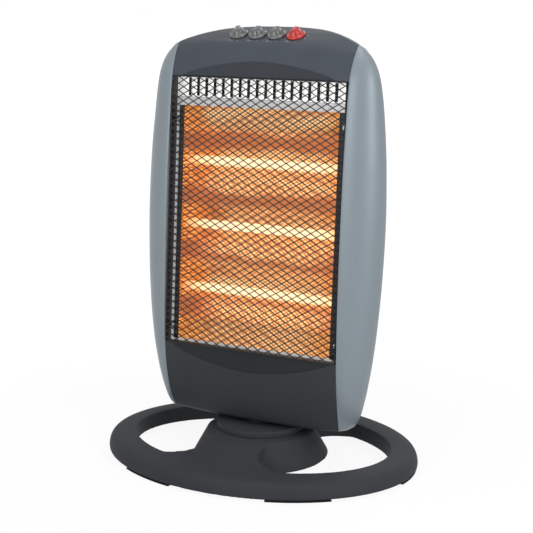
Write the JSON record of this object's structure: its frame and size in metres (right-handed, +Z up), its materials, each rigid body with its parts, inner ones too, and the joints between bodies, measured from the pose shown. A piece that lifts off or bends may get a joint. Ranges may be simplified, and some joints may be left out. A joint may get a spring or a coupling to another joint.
{
  "type": "halogen heater",
  "caption": "Upright electric heater: quartz tubes in polished troughs behind a mesh guard, turning on an open oval base, with knobs on a sloping deck at the top.",
  "frame": {"origin": "middle of the oval base on the floor; the swivel axis runs up through it", "axes": "+Z up, front of the heater towards -Y, +X to the right seen from behind the guard's front"},
  "size_m": [0.35, 0.272, 0.4594],
  "materials": {
    "base_plastic": "fine moulded grain, satin",
    "charcoal_plastic": "satin moulded plastic",
    "slate_plastic": "satin slate-blue moulded plastic",
    "silver_painted_plastic": "satin silver-grey paint",
    "zinc_plated_steel": "zinc plated",
    "polished_reflector": "bright rolled aluminium, warm from heat",
    "black_enamelled_wire": "black heat-proof enamel",
    "dark_fitting": "phenolic moulding",
    "quartz_glass": "clear quartz",
    "heating_wire": "glowing coiled wire",
    "end_cap_ceramic": "unglazed",
    "knob_grey": "moulded, satin",
    "knob_red": "moulded, semi-gloss",
    "plunger_red": "moulded",
    "natural_nylon": "unpigmented nylon",
    "rubber": "matt"
  },
  "bodies": {
    "base": {"base_shell": "base_plastic", "base_bottom_plate": "zinc_plated_steel", "foot_pad_1": "rubber", "foot_pad_2": "rubber", "foot_pad_3": "rubber", "foot_pad_4": "rubber", "foot_pad_5": "rubber", "foot_pad_6": "rubber", "base_screw_1": "zinc_plated_steel", "base_screw_2": "zinc_plated_steel", "base_screw_3": "zinc_plated_steel", "swivel_post": "dark_fitting", "oscillation_yoke": "zinc_plated_steel", "tip_switch_housing": "dark_fitting"},
    "plunger": {"tip_plunger": "plunger_red"},
    "crank": {"crank_disc": "natural_nylon"},
    "knob_1": {"knob_1": "knob_grey"},
    "knob_2": {"knob_2": "knob_grey"},
    "knob_3": {"knob_3": "knob_grey"},
    "knob_4": {"knob_4": "knob_red"},
    "head": {"lower_housing": "charcoal_plastic", "rear_cover": "charcoal_plastic", "swivel_collar": "charcoal_plastic", "upper_housing": "slate_plastic", "side_panel_left": "silver_painted_plastic", "side_panel_right": "silver_painted_plastic", "oscillation_motor": "zinc_plated_steel", "heat_shield": "zinc_plated_steel", "top_vent_plate": "zinc_plated_steel", "holder_screw_1": "zinc_plated_steel", "holder_screw_2": "zinc_plated_steel", "holder_screw_3": "zinc_plated_steel", "holder_screw_4": "zinc_plated_steel", "rear_screw_1": "zinc_plated_steel", "rear_screw_2": "zinc_plated_steel", "rear_screw_3": "zinc_plated_steel", "rear_screw_4": "zinc_plated_steel", "reflector": "polished_reflector", "guard": "black_enamelled_wire", "tube_holder_left": "black_enamelled_wire", "tube_holder_right": "black_enamelled_wire", "thermal_cutout": "dark_fitting", "rotary_switch_1": "dark_fitting", "rotary_switch_2": "dark_fitting", "rotary_switch_3": "dark_fitting", "rotary_switch_4": "dark_fitting", "quartz_tube_1": "quartz_glass", "quartz_tube_2": "quartz_glass", "quartz_tube_3": "quartz_glass", "filament_1": "heating_wire", "filament_2": "heating_wire", "filament_3": "heating_wire", "tube_cap_left_1": "end_cap_ceramic", "tube_cap_left_2": "end_cap_ceramic", "tube_cap_left_3": "end_cap_ceramic", "tube_cap_right_1": "end_cap_ceramic", "tube_cap_right_2": "end_cap_ceramic", "tube_cap_right_3": "end_cap_ceramic", "terminal_block": "natural_nylon", "cable_gland": "rubber"}
  },
  "joints": [
    {"name": "head_swivel", "type": "hinge", "parent": "base", "child": "head", "pos_m": [0, 0, 0.04], "axis": [0, 0, 1], "range_deg": [-29.9, 29.9]},
    {"name": "crank_spin", "type": "hinge", "parent": "head", "child": "crank", "pos_m": [0, 0.024, 0.055], "axis": [0, 0, 1], "range_deg": [-90.5, 90.5]},
    {"name": "knob_1_turn", "type": "hinge", "parent": "head", "child": "knob_1", "pos_m": [-0.03645, 0.02068, 0.44868], "axis": [0, -0.4079, 0.913], "range_deg": [0, 90]},
    {"name": "knob_2_turn", "type": "hinge", "parent": "head", "child": "knob_2", "pos_m": [-0.01415, 0.02068, 0.44868], "axis": [0, -0.4079, 0.913], "range_deg": [0, 90]},
    {"name": "knob_3_turn", "type": "hinge", "parent": "head", "child": "knob_3", "pos_m": [0.00815, 0.02068, 0.44868], "axis": [0, -0.4079, 0.913], "range_deg": [0, 90]},
    {"name": "knob_4_turn", "type": "hinge", "parent": "head", "child": "knob_4", "pos_m": [0.03045, 0.02068, 0.44868], "axis": [0, -0.4079, 0.913], "range_deg": [0, 90]},
    {"name": "plunger_drop", "type": "slide", "parent": "base", "child": "plunger", "axis": [0, 0, -1], "range_m": [0, 0.004], "stiffness_N_per_m": 50, "springref_m": 0.008}
  ],
  "couplings": [
    {"joint": "crank_spin", "follows": "head_swivel", "ratio": -3.01}
  ]
}
